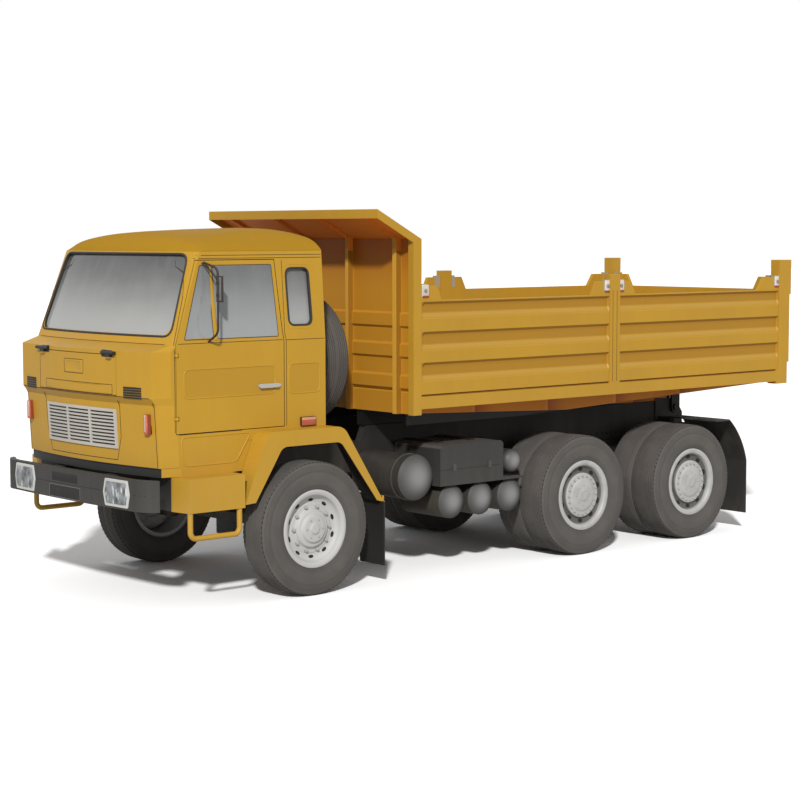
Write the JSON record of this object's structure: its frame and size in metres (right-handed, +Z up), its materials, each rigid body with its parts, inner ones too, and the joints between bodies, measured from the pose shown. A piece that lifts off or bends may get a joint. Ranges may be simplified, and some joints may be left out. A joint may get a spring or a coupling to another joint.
{
  "type": "three-axle dump truck",
  "caption": "Forward-control dump truck with steered front wheels, twin-tyred rear axles and a tipping bed with top-hung boards, raised by a telescopic hoist.",
  "frame": {"origin": "on the ground under the middle of the overall box", "axes": "+X to the left-hand side of the truck, +Y to its tail, +Z up"},
  "size_m": [2.5, 7.7838, 3.174],
  "materials": {
    "body_paint": "semi-gloss",
    "bed_underside": "matt",
    "dark_paint": "matt",
    "dash_plastic": "matt",
    "seat_fabric": "woven",
    "window_glass": "clear",
    "chassis_paint": "satin",
    "spring_steel": "oiled",
    "engine_iron": "rough",
    "bumper_paint": "satin",
    "grille_paint": "satin",
    "lamp_glass": "clear",
    "black_plastic": "matt",
    "silencer_steel": "dull",
    "tank_paint": "satin",
    "tyre_rubber": "worn",
    "rim_paint": "semi-gloss",
    "hoist_steel": "oiled"
  },
  "bodies": {
    "chassis": {"air_tanks": "tank_paint", "battery_box": "chassis_paint", "bumper": "bumper_paint", "cab_back": "body_paint", "cab_floor": "dark_paint", "cab_front": "body_paint", "cab_glass": "window_glass", "cab_roof": "body_paint", "cab_sides": "body_paint", "dashboard": "dash_plastic", "engine": "engine_iron", "fenders": "body_paint", "frame": "chassis_paint", "front_axle": "chassis_paint", "fuel_tank": "chassis_paint", "grille": "grille_paint", "lamps": "lamp_glass", "mudguards": "black_plastic", "rear_axles": "chassis_paint", "seats": "seat_fabric", "silencer": "silencer_steel", "spare_carrier": "rim_paint", "spare_tyre": "tyre_rubber", "springs": "spring_steel"},
    "bed": {"bed_floor": "bed_underside", "bed_frame": "body_paint", "headboard": "body_paint"},
    "flap": {"front_flap": "body_paint"},
    "tailgate": {"tailgate": "body_paint"},
    "hoist_tube": {"hoist_tube": "hoist_steel"},
    "door_left": {"door_left": "body_paint", "door_glass_left": "window_glass", "mirror": "black_plastic"},
    "knuckle_left": {"knuckle_left": "chassis_paint"},
    "wheel_front_left": {"tyre_front_left": "tyre_rubber", "rim_front_left": "rim_paint"},
    "wheel_mid_left": {"tyre_mid_left": "tyre_rubber", "rim_mid_left": "rim_paint"},
    "wheel_rear_left": {"tyre_rear_left": "tyre_rubber", "rim_rear_left": "rim_paint"},
    "board_front_left": {"board_front_left": "body_paint"},
    "board_rear_left": {"board_rear_left": "body_paint"},
    "door_right": {"door_right": "body_paint", "door_glass_right": "window_glass"},
    "knuckle_right": {"knuckle_right": "chassis_paint"},
    "wheel_front_right": {"tyre_front_right": "tyre_rubber", "rim_front_right": "rim_paint"},
    "wheel_mid_right": {"tyre_mid_right": "tyre_rubber", "rim_mid_right": "rim_paint"},
    "wheel_rear_right": {"tyre_rear_right": "tyre_rubber", "rim_rear_right": "rim_paint"},
    "board_front_right": {"board_front_right": "body_paint"},
    "board_rear_right": {"board_rear_right": "body_paint"},
    "hoist_stage_1": {"hoist_stage_1": "hoist_steel"},
    "hoist_stage_2": {"hoist_stage_2": "hoist_steel"},
    "hoist_stage_3": {"hoist_stage_3": "hoist_steel"},
    "hoist_stage_4": {"hoist_stage_4": "hoist_steel"}
  },
  "joints": [
    {"name": "steer_left", "type": "hinge", "parent": "chassis", "child": "knuckle_left", "pos_m": [0.862, -2.3, 0.555], "axis": [0, 0, 1], "range_deg": [-35, 35]},
    {"name": "spin_front_left", "type": "hinge", "parent": "knuckle_left", "child": "wheel_front_left", "pos_m": [1.105, -2.3, 0.555], "axis": [1, 0, 0], "continuous": true},
    {"name": "spin_mid_left", "type": "hinge", "parent": "chassis", "child": "wheel_mid_left", "pos_m": [1.105, 0.86, 0.555], "axis": [1, 0, 0], "continuous": true},
    {"name": "spin_rear_left", "type": "hinge", "parent": "chassis", "child": "wheel_rear_left", "pos_m": [1.105, 2.365, 0.555], "axis": [1, 0, 0], "continuous": true},
    {"name": "door_left_hinge", "type": "hinge", "parent": "chassis", "child": "door_left", "pos_m": [1.02, -3.504, 1.77], "axis": [0, 0, -1], "range_deg": [0, 70]},
    {"name": "board_front_left_hinge", "type": "hinge", "parent": "bed", "child": "board_front_left", "pos_m": [1.179, 0.05, 2.482], "axis": [0, -1, 0], "range_deg": [0, 80]},
    {"name": "board_rear_left_hinge", "type": "hinge", "parent": "bed", "child": "board_rear_left", "pos_m": [1.179, 2.51, 2.482], "axis": [0, -1, 0], "range_deg": [0, 80]},
    {"name": "steer_right", "type": "hinge", "parent": "chassis", "child": "knuckle_right", "pos_m": [-0.862, -2.3, 0.555], "axis": [0, 0, 1], "range_deg": [-35, 35]},
    {"name": "spin_front_right", "type": "hinge", "parent": "knuckle_right", "child": "wheel_front_right", "pos_m": [-1.105, -2.3, 0.555], "axis": [1, 0, 0], "continuous": true},
    {"name": "spin_mid_right", "type": "hinge", "parent": "chassis", "child": "wheel_mid_right", "pos_m": [-1.105, 0.86, 0.555], "axis": [1, 0, 0], "continuous": true},
    {"name": "spin_rear_right", "type": "hinge", "parent": "chassis", "child": "wheel_rear_right", "pos_m": [-1.105, 2.365, 0.555], "axis": [1, 0, 0], "continuous": true},
    {"name": "door_right_hinge", "type": "hinge", "parent": "chassis", "child": "door_right", "pos_m": [-1.02, -3.504, 1.77], "axis": [0, 0, 1], "range_deg": [0, 70]},
    {"name": "board_front_right_hinge", "type": "hinge", "parent": "bed", "child": "board_front_right", "pos_m": [-1.179, 0.05, 2.482], "axis": [0, 1, 0], "range_deg": [0, 80]},
    {"name": "board_rear_right_hinge", "type": "hinge", "parent": "bed", "child": "board_rear_right", "pos_m": [-1.179, 2.51, 2.482], "axis": [0, 1, 0], "range_deg": [0, 80]},
    {"name": "front_flap_hinge", "type": "hinge", "parent": "chassis", "child": "flap", "pos_m": [0, -3.812, 2.033], "axis": [-1, 0, 0], "range_deg": [0, 85]},
    {"name": "bed_tip", "type": "hinge", "parent": "chassis", "child": "bed", "pos_m": [0, 3, 1.2], "axis": [-1, 0, 0], "range_deg": [0, 45]},
    {"name": "tailgate_hinge", "type": "hinge", "parent": "bed", "child": "tailgate", "pos_m": [0, 3.755, 2.482], "axis": [1, 0, 0], "range_deg": [0, 80]},
    {"name": "hoist_lean", "type": "hinge", "parent": "chassis", "child": "hoist_tube", "pos_m": [0, 0.3, 1.05], "axis": [-1, 0, 0], "range_deg": [0, 23]},
    {"name": "hoist_extend_1", "type": "slide", "parent": "hoist_tube", "child": "hoist_stage_1", "axis": [0, 0, 1], "range_m": [0, 0.516]},
    {"name": "hoist_extend_2", "type": "slide", "parent": "hoist_stage_1", "child": "hoist_stage_2", "axis": [0, 0, 1], "range_m": [0, 0.516]},
    {"name": "hoist_extend_3", "type": "slide", "parent": "hoist_stage_2", "child": "hoist_stage_3", "axis": [0, 0, 1], "range_m": [0, 0.516]},
    {"name": "hoist_extend_4", "type": "slide", "parent": "hoist_stage_3", "child": "hoist_stage_4", "axis": [0, 0, 1], "range_m": [0, 0.516]}
  ],
  "couplings": [
    {"joint": "steer_right", "follows": "steer_left", "ratio": 1},
    {"joint": "hoist_lean", "follows": "bed_tip", "ratio": 0.495},
    {"joint": "hoist_extend_1", "follows": "bed_tip", "m_per_rad": 0.65625},
    {"joint": "hoist_extend_2", "follows": "bed_tip", "m_per_rad": 0.65625},
    {"joint": "hoist_extend_3", "follows": "bed_tip", "m_per_rad": 0.65625},
    {"joint": "hoist_extend_4", "follows": "bed_tip", "m_per_rad": 0.65625}
  ]
}
